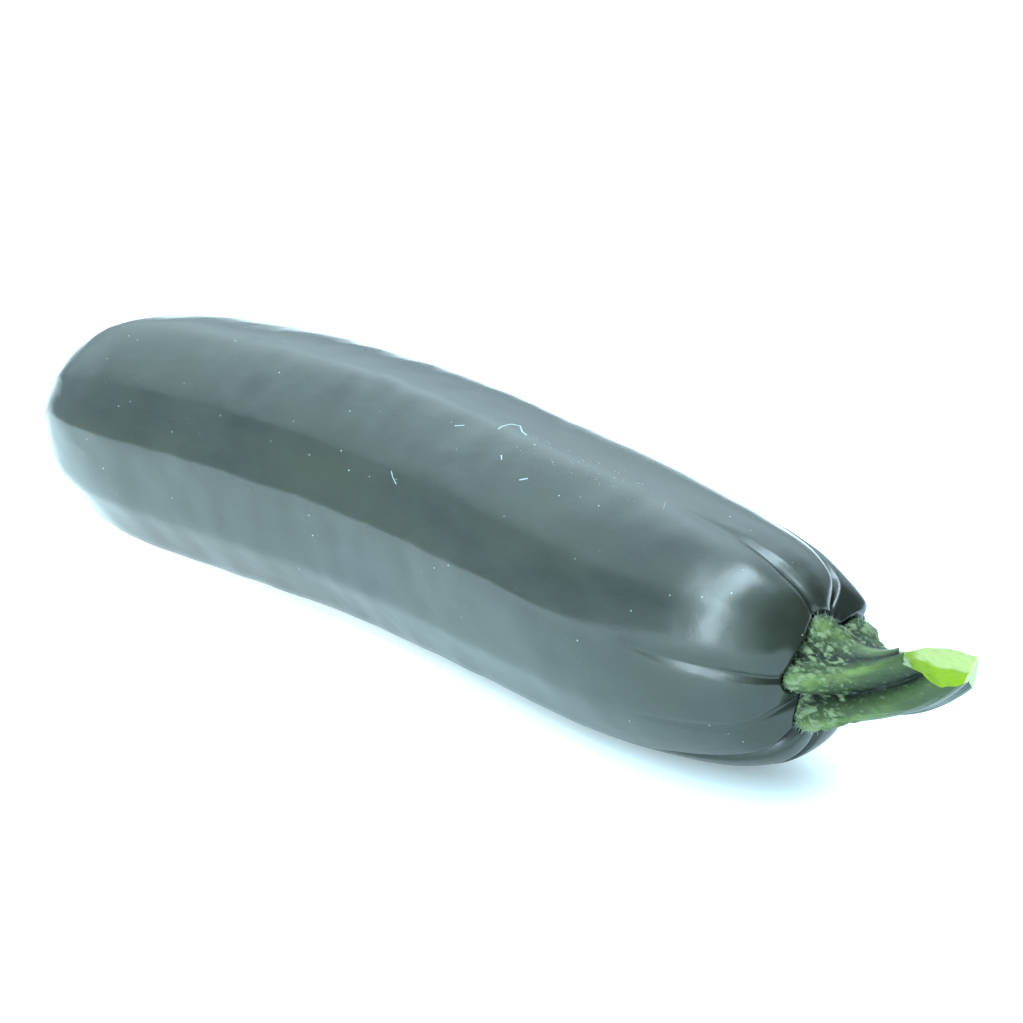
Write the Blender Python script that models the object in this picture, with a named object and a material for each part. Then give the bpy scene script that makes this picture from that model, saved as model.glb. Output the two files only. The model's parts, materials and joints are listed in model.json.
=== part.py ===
# A courgette as picked, lying on its side: the ribbed fruit, with the scar that its blossom left,
# and the five-ridged stalk with its slanting cut. Metres, +Z up. The fruit lies along X with its
# stalk towards +X, and the origin is under the middle of the whole object.

import math

import bmesh
import bpy
from mathutils import Vector, noise

# Fruit: overall size, measured along X from the blossom end
FRUIT_LENGTH = 0.190
BLOSSOM_CAP = 0.040
BLOSSOM_ROUNDNESS = 2.05
SHOULDER_CAP = 0.060
SHOULDER_ROUNDNESS = 3.4
# (distance from the blossom end, half thickness)
GIRTH = ((0.0, 0.0244), (0.032, 0.0240), (0.063, 0.0244), (0.095, 0.0240),
         (0.127, 0.0233), (0.158, 0.0226), (0.190, 0.0223))
# (distance from the blossom end, how far the core bows to +Y)
BOW = ((0.0, -0.0060), (0.032, 0.0000), (0.063, 0.0036), (0.095, 0.0048),
       (0.127, 0.0022), (0.158, -0.0006), (0.190, -0.0002))

# Ribs: angle round the fruit from +Y towards +Z, in degrees, and whether a stalk ridge meets it
RIBS = ((28, True), (66, False), (104, True), (137, False), (169, True),
        (201, False), (233, True), (267, False), (303, True), (345, False))
MAIN_RIB_HEIGHT = 0.0022
MINOR_RIB_HEIGHT = 0.0015
RIB_MEAN = 0.29
RIB_CREST_ROUNDING = 0.10
RIB_FADE_START = 0.120
RIB_FADE_END = 0.172
BLOSSOM_RIB_FADE = 0.014

# Grooves and lobes on the shoulder, where the ribs sink between swelling lobes
GROOVE_START = 0.128
GROOVE_FULL = 0.184
MAIN_GROOVE_DEPTH = 0.0028
MAIN_GROOVE_WIDTH = 0.0016
MINOR_GROOVE_DEPTH = 0.0009
MINOR_GROOVE_WIDTH = 0.0020
# How far the lobe after each main rib swells, from its edges to its middle
LOBE_SWELL = (0.0004, 0.0013, 0.0014, 0.0005, 0.0010)
LOBE_MEAN = 0.55

# Gentle unevenness of the skin
WAVE_HEIGHT = 0.00030
WAVE_LENGTH = 0.026

# Seat in the shoulder for the stalk's root
STALK_SEAT_INSET = 0.0040
STALK_SEAT_RADIUS = 0.0085
STALK_SEAT_MARGIN = 0.0005
STALK_SEAT_SLOPE = 0.0024
STALK_SEAT_REACH = 0.0175
STALK_SEAT_GAP = 0.0003

# Blossom scar: a flat disc sunk a little into the end, with the stub of the style in its middle
SCAR_INSET = 0.0013
SCAR_RADIUS = 0.0050
SCAR_SLOPE = 0.0024
SCAR_STYLE_RADIUS = 0.0028
SCAR_STYLE_HEIGHT = 0.0010

# Flat spot under the fruit
FLAT_SPOT_DEPTH = 0.00060

# Stalk: its bend is the heading it reaches at STALK_BEND_AT, growing as a power of the distance
STALK_LENGTH = 0.0400
STALK_BEND = math.radians(40)
STALK_BEND_AT = 0.0235
STALK_BEND_GROWTH = 1.3
STALK_RIDGE_RADIUS = 0.0058
# For each main rib: how far its foot reaches out, and the radius of the furrow after it
STALK_FEET = ((0.0048, 0.0049), (0.0047, 0.0051), (0.0042, 0.0038), (0.0036, 0.0046), (0.0040, 0.0046))
STALK_FOOT_HEIGHT = 0.0050
STALK_ROOT_SPREAD = 0.0018
STALK_RIDGE_BREADTH = 0.75
STALK_TWIST = math.radians(7)
STALK_BUMP_HEIGHT = 0.00040
STALK_BUMP_LENGTH = 0.0036
STALK_BUMP_REACH = 0.011

# Slanting cut that bares the stalk's flesh
CUT_START = 0.0160
CUT_HEIGHT = 0.0074
CUT_RISE = math.radians(4)
CUT_SKEW = math.radians(36)
CUT_TIP = 0.0304
CUT_SIZE = 0.050
CUT_ROUGHNESS = 0.0005
CUT_ROUGH_LENGTH = 0.0036
# Picks the roughness of the cut, which would otherwise differ from run to run
CUT_SEED = 1795837129

# Mesh counts
SPOKES_PER_FACE = 8
BLOSSOM_RINGS = 14
BODY_RINGS = 13
SHOULDER_RINGS = 22
POLE_CROWDING = 1.5
STALK_STEPS_PER_FACE = 11
STALK_CAP_RINGS = 3
STALK_SIDE_RINGS = 26
STALK_ROOT_CROWDING = 1.35
CUT_STEPS = 13

# Surfaces: colour and roughness
SKIN_GREEN = (0.030, 0.056, 0.040, 1.0)
SKIN_ROUGHNESS = 0.38
STALK_GREEN = (0.115, 0.235, 0.075, 1.0)
STALK_ROUGHNESS = 0.50
SHARP_EDGE = math.radians(35)


def clear_scene():
    """Removes every object that the scene starts with."""
    for obj in list(bpy.data.objects):
        bpy.data.objects.remove(obj)


def material(name, colour, roughness):
    """A plain surface of one colour."""
    made = bpy.data.materials.new(name)
    made.use_nodes = True
    shader = made.node_tree.nodes["Principled BSDF"]
    shader.inputs["Base Color"].default_value = colour
    shader.inputs["Roughness"].default_value = roughness
    shader.inputs["Metallic"].default_value = 0.0
    return made


def smoothstep(low, high, value):
    """0 at low, 1 at high, with a level start and end. Low may be the larger."""
    t = min(max((value - low) / (high - low), 0.0), 1.0)
    return t * t * (3 - 2 * t)


def through(stations, x):
    """The value at x of a smooth curve through the stations, each a (position, value) pair."""
    last = len(stations) - 1
    k = 0
    while k < last - 1 and x > stations[k + 1][0]:
        k += 1
    (x0, y0), (x1, y1) = stations[k], stations[k + 1]
    before = stations[max(k - 1, 0)]
    after = stations[min(k + 2, last)]
    span = x1 - x0
    slope0 = (y1 - before[1]) / (x1 - before[0]) * span
    slope1 = (after[1] - y0) / (after[0] - x0) * span
    t = (x - x0) / span
    return (y0 * (2 * t ** 3 - 3 * t ** 2 + 1) + slope0 * (t ** 3 - 2 * t ** 2 + t)
            + y1 * (3 * t ** 2 - 2 * t ** 3) + slope1 * (t ** 3 - t ** 2))


def core(x):
    """The middle of the fruit at x, before the fruit is put on the ground."""
    return Vector((x, through(BOW, x), through(GIRTH, x)))


def outline(q):
    """The fruit's half outline as (x, radius): q is 0 to 1 over the blossom end, 1 to 2 along the
    body and 2 to 3 over the shoulder. Both ends are superellipses."""
    if q < 1:
        angle, cap, power = q * math.pi / 2, BLOSSOM_CAP, 2 / BLOSSOM_ROUNDNESS
        x = cap * (1 - max(math.cos(angle), 0) ** power)
    elif q < 2:
        angle, power = math.pi / 2, 1
        x = BLOSSOM_CAP + (q - 1) * (FRUIT_LENGTH - BLOSSOM_CAP - SHOULDER_CAP)
    else:
        angle, cap, power = (3 - q) * math.pi / 2, SHOULDER_CAP, 2 / SHOULDER_ROUNDNESS
        x = FRUIT_LENGTH - cap * (1 - max(math.cos(angle), 0) ** power)
    return x, through(GIRTH, x) * max(math.sin(angle), 0) ** power


def outline_normal(q):
    """The outline's outward direction at q, as (along X, away from the core)."""
    step = 0.01
    x0, r0 = outline(max(q - step, 0))
    x1, r1 = outline(min(q + step, 3))
    length = math.hypot(x1 - x0, r1 - r0)
    return -(r1 - r0) / length, (x1 - x0) / length


def between(angles, angle):
    """Which of the rising angles comes last before this one, going round, and the share of the
    way from it to the next."""
    k = len(angles) - 1
    while k > 0 and angles[k] > angle % 360:
        k -= 1
    if angles[k] > angle % 360:
        k = len(angles) - 1
    span = (angles[(k + 1) % len(angles)] - angles[k]) % 360
    return k, (angle - angles[k]) % 360 / span


def lobe_of(angle):
    """The lobe, numbered by the main rib before it, and the share of the way across it."""
    return between([rib for rib, main in RIBS if main], angle)


def rib_height(angle):
    """How far the ribs stand out at an angle, with nearly flat faces between them."""
    face, share = between([rib for rib, _ in RIBS], angle)
    total = 0.0
    for rib, t in ((face, share), ((face + 1) % len(RIBS), 1 - share)):
        rounded = math.sqrt(t * t + RIB_CREST_ROUNDING ** 2)
        height = MAIN_RIB_HEIGHT if RIBS[rib][1] else MINOR_RIB_HEIGHT
        total += height * (max(1 - rounded, 0) ** 2 - RIB_MEAN)
    return total


def shoulder_relief(angle, radius):
    """Lobes, and the grooves between them, at an angle and a distance from the core."""
    lobe, share = lobe_of(angle)
    relief = LOBE_SWELL[lobe] * (4 * share * (1 - share) - LOBE_MEAN)
    for rib_angle, main in RIBS:
        turn = (angle - rib_angle + 180) % 360 - 180
        aside = radius * math.radians(turn)
        depth, width = ((MAIN_GROOVE_DEPTH, MAIN_GROOVE_WIDTH) if main
                        else (MINOR_GROOVE_DEPTH, MINOR_GROOVE_WIDTH))
        relief -= depth * math.exp(-(aside / width) ** 2)
    return relief


def skin_point(q, angle):
    """A point of the fruit's skin at q along the outline and an angle round it in degrees."""
    x, radius = outline(q)
    along, away = outline_normal(q)
    ribs = smoothstep(0, BLOSSOM_RIB_FADE, radius) * (1 - smoothstep(RIB_FADE_START, RIB_FADE_END, x))
    grooves = smoothstep(GROOVE_START, GROOVE_FULL, x)
    lift = ribs * rib_height(angle) + grooves * shoulder_relief(angle, radius)
    lift += WAVE_HEIGHT * noise.noise(Vector((x, radius * math.cos(math.radians(angle)),
                                              radius * math.sin(math.radians(angle)))) / WAVE_LENGTH)
    widening = 0.0
    if q > 2:
        rim = STALK_SEAT_RADIUS + STALK_SEAT_SLOPE
        seated = smoothstep(rim, STALK_SEAT_RADIUS, radius)
        seat_x = FRUIT_LENGTH - STALK_SEAT_INSET
        widening = stalk_radius(angle, 0) + STALK_SEAT_MARGIN - STALK_SEAT_RADIUS
        widening *= smoothstep(0, STALK_SEAT_RADIUS, radius) * smoothstep(STALK_SEAT_REACH, rim, radius)
    else:
        seated = smoothstep(SCAR_RADIUS + SCAR_SLOPE, SCAR_RADIUS, radius)
        seat_x = SCAR_INSET - SCAR_STYLE_HEIGHT * smoothstep(SCAR_STYLE_RADIUS, 0, radius)
    x_out = (x + lift * along) * (1 - seated) + seat_x * seated
    radius += lift * away * (1 - seated) + widening
    middle = core(min(max(x, 0.0), FRUIT_LENGTH))
    turn = math.radians(angle)
    return Vector((x_out, middle.y + radius * math.cos(turn), middle.z + radius * math.sin(turn)))


def spoke_angle(index):
    """The angle of a spoke, with the spokes closer together beside each rib."""
    face, step = divmod(index, SPOKES_PER_FACE)
    low = RIBS[face][0]
    high = RIBS[(face + 1) % len(RIBS)][0] + (360 if face == len(RIBS) - 1 else 0)
    share = step / SPOKES_PER_FACE
    eased = share - 0.55 * math.sin(2 * math.pi * share) / (2 * math.pi)
    return low + (high - low) * eased


def ball(spokes, rings):
    """A ball's mesh, and for each vertex its ring, counted from the -X pole, and its spoke."""
    mesh = bmesh.new()
    bmesh.ops.create_uvsphere(mesh, u_segments=spokes, v_segments=rings, radius=1)
    places = []
    for vertex in mesh.verts:
        x, y, z = vertex.co
        ring = rings - round(math.acos(min(max(z, -1), 1)) / math.pi * rings)
        spoke = round(math.atan2(y, x) / (2 * math.pi) * spokes) % spokes
        places.append((vertex, ring, spoke))
    return mesh, places


def finished(mesh, name, finish):
    """Turns a bmesh into a smooth-shaded object with one material."""
    bmesh.ops.recalc_face_normals(mesh, faces=mesh.faces)
    data = bpy.data.meshes.new(name)
    mesh.to_mesh(data)
    mesh.free()
    data.materials.append(finish)
    data.shade_smooth()
    data.set_sharp_from_angle(angle=SHARP_EDGE)
    obj = bpy.data.objects.new(name, data)
    bpy.context.scene.collection.objects.link(obj)
    return obj


def ring_stations():
    """Where the fruit's rings lie along its outline, closer together towards both poles."""
    blossom = [(step / BLOSSOM_RINGS) ** POLE_CROWDING for step in range(BLOSSOM_RINGS)]
    body = [1 + step / BODY_RINGS for step in range(BODY_RINGS)]
    shoulder = [3 - (1 - step / SHOULDER_RINGS) ** POLE_CROWDING for step in range(SHOULDER_RINGS + 1)]
    return blossom + body + shoulder


def make_fruit():
    """The fruit, with its underside flattened where it rests."""
    stations = ring_stations()
    mesh, places = ball(SPOKES_PER_FACE * len(RIBS), len(stations) - 1)
    for vertex, ring, spoke in places:
        vertex.co = skin_point(stations[ring], spoke_angle(spoke))
    ground = min(v.co.z for v in mesh.verts) + FLAT_SPOT_DEPTH
    for vertex in mesh.verts:
        vertex.co.z = max(vertex.co.z, ground)
    return finished(mesh, "fruit", material("courgette_skin", SKIN_GREEN, SKIN_ROUGHNESS))


def stalk_radius(angle, distance):
    """The stalk's radius before it twists: five ridges that flare into feet at the root."""
    lobe, share = lobe_of(angle)
    reach, furrow = STALK_FEET[lobe]
    if share > 0.5:
        reach = STALK_FEET[(lobe + 1) % len(STALK_FEET)][0]
    ridge = (0.5 + 0.5 * math.cos(2 * math.pi * share)) ** STALK_RIDGE_BREADTH
    flare = math.exp(-distance / STALK_FOOT_HEIGHT)
    valley = furrow + STALK_ROOT_SPREAD * flare
    crest = STALK_RIDGE_RADIUS + reach * flare
    return valley + (crest - valley) * ridge


def stalk_root():
    """The middle of the stalk's root, which sits in the fruit's shoulder."""
    foot = core(FRUIT_LENGTH)
    return Vector((FRUIT_LENGTH - STALK_SEAT_INSET + STALK_SEAT_GAP, foot.y, foot.z))


def stalk_frames(distances):
    """The stalk's middle and the direction above it at each distance, which only grows."""
    frames = []
    middle, done, step = stalk_root(), 0.0, STALK_LENGTH / 400
    for distance in distances:
        while done < distance:
            part = min(step, distance - done)
            heading = STALK_BEND * ((done + part / 2) / STALK_BEND_AT) ** STALK_BEND_GROWTH
            middle = middle + Vector((math.cos(heading), 0, math.sin(heading))) * part
            done += part
        heading = STALK_BEND * (distance / STALK_BEND_AT) ** STALK_BEND_GROWTH
        frames.append((middle, Vector((-math.sin(heading), 0, math.cos(heading)))))
    return frames


def make_stalk():
    """The stalk at its full length, then cut."""
    mains = [rib[0] for rib in RIBS if rib[1]]
    rings = STALK_CAP_RINGS * 2 + STALK_SIDE_RINGS
    side_rings = [min(max(ring - STALK_CAP_RINGS, 0), STALK_SIDE_RINGS) for ring in range(rings + 1)]
    distances = [STALK_LENGTH * (ring / STALK_SIDE_RINGS) ** STALK_ROOT_CROWDING for ring in side_rings]
    frames = stalk_frames(distances)
    mesh, places = ball(STALK_STEPS_PER_FACE * len(mains), rings)
    for vertex, ring, spoke in places:
        face, step = divmod(spoke, STALK_STEPS_PER_FACE)
        turn = (mains[(face + 1) % len(mains)] - mains[face]) % 360
        degrees = mains[face] + turn * step / STALK_STEPS_PER_FACE
        radius = stalk_radius(degrees, distances[ring])
        middle, up = frames[ring]
        turned = math.radians(degrees) + STALK_TWIST * distances[ring] / STALK_LENGTH
        outward = Vector((0, math.cos(turned), 0)) + up * math.sin(turned)
        inward = min(ring, rings - ring, STALK_CAP_RINGS) / STALK_CAP_RINGS
        if inward == 1 and distances[ring] > 0:
            bumps = STALK_BUMP_HEIGHT * (1 - smoothstep(0, STALK_BUMP_REACH, distances[ring]))
            radius += bumps * noise.noise((middle + outward * radius) / STALK_BUMP_LENGTH)
        vertex.co = middle + outward * radius * inward
    stalk = finished(mesh, "stalk", material("stalk_rind", STALK_GREEN, STALK_ROUGHNESS))
    slice_stalk(stalk)
    return stalk


def slice_stalk(stalk):
    """Takes the top off the stalk's far half with a rough, slanting cut, then blunts its tip. Both
    cuts are blocks that start on a plane skewed across the stalk."""
    noise.seed_set(CUT_SEED)
    cuts = (("slanting_cut", CUT_STEPS, CUT_ROUGHNESS, Vector((CUT_START, 0, CUT_HEIGHT)), CUT_SIZE / 2),
            ("blunted_tip", 0, 0.0, Vector((CUT_TIP, 0, 0)), 0.0))
    for name, steps, roughness, start, lift in cuts:
        mesh = bmesh.new()
        bmesh.ops.create_cube(mesh, size=CUT_SIZE)
        bmesh.ops.subdivide_edges(mesh, edges=mesh.edges, cuts=steps, use_grid_fill=True)
        for vertex in mesh.verts:
            x, y, z = vertex.co + noise.noise_vector(vertex.co / CUT_ROUGH_LENGTH) * roughness
            x += CUT_SIZE / 2
            z += lift + x * math.tan(CUT_RISE)
            vertex.co = stalk_root() + start + Vector((x - y * math.tan(CUT_SKEW), y, z))
        cutter = finished(mesh, name, stalk.data.materials[0])
        cutter.hide_render = True
        cutter.display_type = "WIRE"
        cut = stalk.modifiers.new(name, "BOOLEAN")
        cut.operation = "DIFFERENCE"
        cut.object = cutter


def put_on_ground(objects):
    """Moves the meshes so that the whole object stands on z = 0, centred on the origin."""
    bpy.context.view_layer.update()
    graph = bpy.context.evaluated_depsgraph_get()
    corners = []
    for obj in objects:
        evaluated = obj.evaluated_get(graph)
        corners += [vertex.co.copy() for vertex in evaluated.to_mesh().vertices]
        evaluated.to_mesh_clear()
    low = Vector([min(corner[k] for corner in corners) for k in range(3)])
    high = Vector([max(corner[k] for corner in corners) for k in range(3)])
    base = Vector(((low.x + high.x) / 2, (low.y + high.y) / 2, low.z))
    for obj in bpy.data.objects:
        for vertex in obj.data.vertices:
            vertex.co -= base


def main():
    clear_scene()
    put_on_ground([make_fruit(), make_stalk()])


main()
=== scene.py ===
# A courgette as picked, lying on a white table under soft lights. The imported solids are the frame,
# and a finer fruit and a finer stalk stand in for them. Metres, +Z up, stalk to +X.

import json
import math
import random

import bmesh
import bpy
from mathutils import Euler, Matrix, Vector, noise

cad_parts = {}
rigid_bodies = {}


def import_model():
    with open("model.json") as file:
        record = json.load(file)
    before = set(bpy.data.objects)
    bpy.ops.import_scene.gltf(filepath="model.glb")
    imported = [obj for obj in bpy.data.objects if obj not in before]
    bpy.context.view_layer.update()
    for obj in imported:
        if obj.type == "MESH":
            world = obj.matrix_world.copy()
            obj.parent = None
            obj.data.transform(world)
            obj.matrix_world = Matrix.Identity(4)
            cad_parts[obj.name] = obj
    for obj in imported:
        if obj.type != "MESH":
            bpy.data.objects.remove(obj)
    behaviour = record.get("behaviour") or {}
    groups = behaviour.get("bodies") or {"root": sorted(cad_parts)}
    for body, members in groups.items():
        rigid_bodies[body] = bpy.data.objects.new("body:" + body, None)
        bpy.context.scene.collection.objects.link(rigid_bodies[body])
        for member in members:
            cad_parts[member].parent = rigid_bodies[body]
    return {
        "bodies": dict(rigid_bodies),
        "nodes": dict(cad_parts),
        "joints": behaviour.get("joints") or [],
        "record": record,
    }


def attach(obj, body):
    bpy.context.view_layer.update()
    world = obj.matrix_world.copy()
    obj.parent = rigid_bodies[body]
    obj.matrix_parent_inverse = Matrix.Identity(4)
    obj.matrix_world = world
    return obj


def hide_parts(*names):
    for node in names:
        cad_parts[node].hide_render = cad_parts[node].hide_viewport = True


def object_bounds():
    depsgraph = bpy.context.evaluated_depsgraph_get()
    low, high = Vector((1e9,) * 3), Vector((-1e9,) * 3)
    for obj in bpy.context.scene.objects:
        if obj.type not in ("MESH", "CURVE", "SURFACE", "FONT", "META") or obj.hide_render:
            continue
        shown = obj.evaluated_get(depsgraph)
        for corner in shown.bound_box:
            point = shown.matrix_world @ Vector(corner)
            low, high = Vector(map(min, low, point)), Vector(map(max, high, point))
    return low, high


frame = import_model()
cad_low, cad_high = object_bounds()


# Fruit
# The courgette itself, grown in one piece: thin, waxy, dark green skin over firm flesh. Ten ribs run
# along it. Near the stalk they sink into grooves between swelling lobes. The blossom's scar is at
# the other end.

# Where the fruit's own frame, measured from its blossom end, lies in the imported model
FRUIT_PLACE = Vector((-0.1084984, -0.0024061, -0.0003304))

FRUIT_LENGTH = 0.190
BLOSSOM_CAP = 0.040
BLOSSOM_ROUNDNESS = 2.2
SHOULDER_CAP = 0.060
SHOULDER_ROUNDNESS = 3.4
# (distance from the blossom end, half thickness)
GIRTH = ((0.0, 0.0244), (0.032, 0.0240), (0.063, 0.0244), (0.095, 0.0240),
         (0.127, 0.0233), (0.158, 0.0226), (0.190, 0.0223))
# (distance from the blossom end, how far the core bows to +Y)
BOW = ((0.0, -0.0060), (0.032, 0.0000), (0.063, 0.0036), (0.095, 0.0048),
       (0.127, 0.0022), (0.158, -0.0006), (0.190, -0.0002))

# Ribs: angle round the fruit from +Y towards +Z in degrees, height of the rib along the body, depth
# of the groove that it becomes, and how many degrees it leans aside on the shoulder, then at the stalk
RIBS = ((28, 0.0022, 0.0014, 0, 0), (66, 0.0015, 0.0014, -8, 12), (104, 0.0022, 0.0006, -5, 0),
        (143, 0.0015, 0.0, 4, 0), (169, 0.0022, 0.0005, 1, 0), (203, 0.0015, 0.0003, 0, 0),
        (233, 0.0022, 0.0016, 3, 0), (267, 0.0015, 0.0014, -12, 0), (303, 0.0022, 0.0020, 0, 0),
        (345, 0.0015, 0.0008, 0, 0))
RIB_MEAN = 0.29
RIB_CREST_ROUNDING = 0.14
RIB_FADE_START = 0.126
RIB_FADE_END = 0.180
BLOSSOM_RIB_FADE = (0.009, 0.024)
RIB_LEAN_AT = 0.171
RIB_LEAN_LENGTH = 0.014
RIB_SWIRL_START = 0.0160
RIB_SWIRL_END = 0.0100
RIB_WANDER = 1.2
RIB_WANDER_LENGTH = 0.016

# Grooves and lobes on the shoulder
GROOVE_START = 0.160
GROOVE_FULL = 0.188
GROOVE_WIDTH = 0.0008
LOBE_START = 0.140
LOBE_FULL = 0.184
# The main ribs, where a ridge of the stalk meets the fruit
MAIN_ANGLES = (28, 104, 169, 233, 303)
# The ribs that part the lobes, counted from 0, and how far the lobe after each swells
LOBE_EDGES = (0, 1, 2, 4, 6, 8)
LOBE_SWELL = (0.0004, 0.0005, 0.0015, 0.0002, 0.0010, -0.0036)
LOBE_SINK = 0.0005

# Unevenness of the skin: broad swells, shallow dents across the fruit, and fine ripples
SWELL_HEIGHT = 0.00030
SWELL_LENGTH = 0.026
DENT_HEIGHT = 0.00014
DENT_LENGTH = 0.0085
DENT_SHORTENING = 1.4
RIPPLE_HEIGHT = 0.000018
RIPPLE_LENGTH = 0.0022

# Seat in the shoulder for the stalk's root
SEAT_INSET = 0.0030
SEAT_RADIUS = 0.0085
SEAT_SLOPE = 0.0014
SEAT_REACH = 0.0175
# The lobes roll in a little before they reach the seat
ROLL_DEPTH = 0.0009
ROLL_START = 0.0165
ROLL_END = 0.0095

# Blossom scar: a flat disc sunk a little into the end, with the stub of the style in its middle
SCAR_INSET = 0.0006
SCAR_RADIUS = 0.0030
SCAR_SLOPE = 0.0050
STYLE_RADIUS = 0.0022
STYLE_HEIGHT = 0.0006

SPOKES_PER_FACE = 30
SPOKE_CROWDING = 0.35
BLOSSOM_RINGS = 66
BODY_RINGS = 120
SHOULDER_RINGS = 104
POLE_CROWDING = 1.5
SEAM_WELD = 0.000001


def smoothstep(low, high, value):
    """0 at low, 1 at high, with a level start and end. Low may be the larger."""
    t = min(max((value - low) / (high - low), 0.0), 1.0)
    return t * t * (3 - 2 * t)


def through(stations, x):
    """The value at x of a smooth curve through the stations, each a (position, value) pair."""
    last = len(stations) - 1
    k = 0
    while k < last - 1 and x > stations[k + 1][0]:
        k += 1
    (x0, y0), (x1, y1) = stations[k], stations[k + 1]
    before = stations[max(k - 1, 0)]
    after = stations[min(k + 2, last)]
    span = x1 - x0
    slope0 = (y1 - before[1]) / (x1 - before[0]) * span
    slope1 = (after[1] - y0) / (after[0] - x0) * span
    t = (x - x0) / span
    return (y0 * (2 * t ** 3 - 3 * t ** 2 + 1) + slope0 * (t ** 3 - 2 * t ** 2 + t)
            + y1 * (3 * t ** 2 - 2 * t ** 3) + slope1 * (t ** 3 - t ** 2))


def core(x):
    """The middle of the fruit at x, in the fruit's own frame."""
    return Vector((x, through(BOW, x), through(GIRTH, x)))


def outline(q):
    """The fruit's half outline as (x, radius): q is 0 to 1 over the blossom end, 1 to 2 along the
    body and 2 to 3 over the shoulder."""
    if q < 1:
        angle, power = q * math.pi / 2, 2 / BLOSSOM_ROUNDNESS
        x = BLOSSOM_CAP * (1 - max(math.cos(angle), 0) ** power)
    elif q < 2:
        angle, power = math.pi / 2, 1
        x = BLOSSOM_CAP + (q - 1) * (FRUIT_LENGTH - BLOSSOM_CAP - SHOULDER_CAP)
    else:
        angle, power = (3 - q) * math.pi / 2, 2 / SHOULDER_ROUNDNESS
        x = FRUIT_LENGTH - SHOULDER_CAP * (1 - max(math.cos(angle), 0) ** power)
    return x, through(GIRTH, x) * max(math.sin(angle), 0) ** power


def outline_normal(q):
    """The outline's outward direction at q, as (along X, away from the core)."""
    step = 0.01
    x0, r0 = outline(max(q - step, 0))
    x1, r1 = outline(min(q + step, 3))
    length = math.hypot(x1 - x0, r1 - r0)
    return -(r1 - r0) / length, (x1 - x0) / length


def between(angles, angle):
    """Which of the rising angles comes last before this one, going round, and the share of the
    way from it to the next."""
    k = len(angles) - 1
    while k > 0 and angles[k] > angle % 360:
        k -= 1
    if angles[k] > angle % 360:
        k = len(angles) - 1
    span = (angles[(k + 1) % len(angles)] - angles[k]) % 360
    return k, (angle - angles[k]) % 360 / span


def rib_angles(x, radius):
    """Where the ribs lie round the fruit: some lean aside on the shoulder or close to the stalk."""
    lean = math.exp(-((x - RIB_LEAN_AT) / RIB_LEAN_LENGTH) ** 2)
    swirl = smoothstep(RIB_SWIRL_START, RIB_SWIRL_END, radius) if x > RIB_LEAN_AT else 0.0
    return [angle + lean * aside + swirl * (close - lean * aside) for angle, _, _, aside, close in RIBS]


def rib_height(angle, angles):
    """How far the ribs stand out at an angle, with nearly flat faces between them."""
    face, share = between(angles, angle)
    total = 0.0
    for rib, t in ((face, share), ((face + 1) % len(RIBS), 1 - share)):
        rounded = math.sqrt(t * t + RIB_CREST_ROUNDING ** 2)
        total += RIBS[rib][1] * (max(1 - rounded, 0) ** 2 - RIB_MEAN)
    return total


def groove_depth(angle, radius, angles):
    """How deep the grooves are at an angle and a distance from the core."""
    depth = 0.0
    for rib_angle, rib in zip(angles, RIBS):
        turn = (angle - rib_angle + 180) % 360 - 180
        aside = radius * math.radians(turn)
        if abs(aside) < 3 * GROOVE_WIDTH:
            depth += rib[2] * math.exp(-(aside / GROOVE_WIDTH) ** 2)
    return depth


def lobe_height(angle, angles):
    """How far the lobes between the main grooves swell at an angle."""
    lobe, share = between([angles[rib] for rib in LOBE_EDGES], angle)
    return LOBE_SWELL[lobe] * 4 * share * (1 - share) - LOBE_SINK


def unevenness(x, across, up):
    """How far the skin stands out from its even form at a place."""
    swell = SWELL_HEIGHT * noise.noise(Vector((x, across, up)) / SWELL_LENGTH)
    dent = DENT_HEIGHT * noise.noise(Vector((x * DENT_SHORTENING, across, up)) / DENT_LENGTH)
    ripple = RIPPLE_HEIGHT * noise.noise(Vector((x, across, up)) / RIPPLE_LENGTH)
    return swell + dent + ripple


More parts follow.
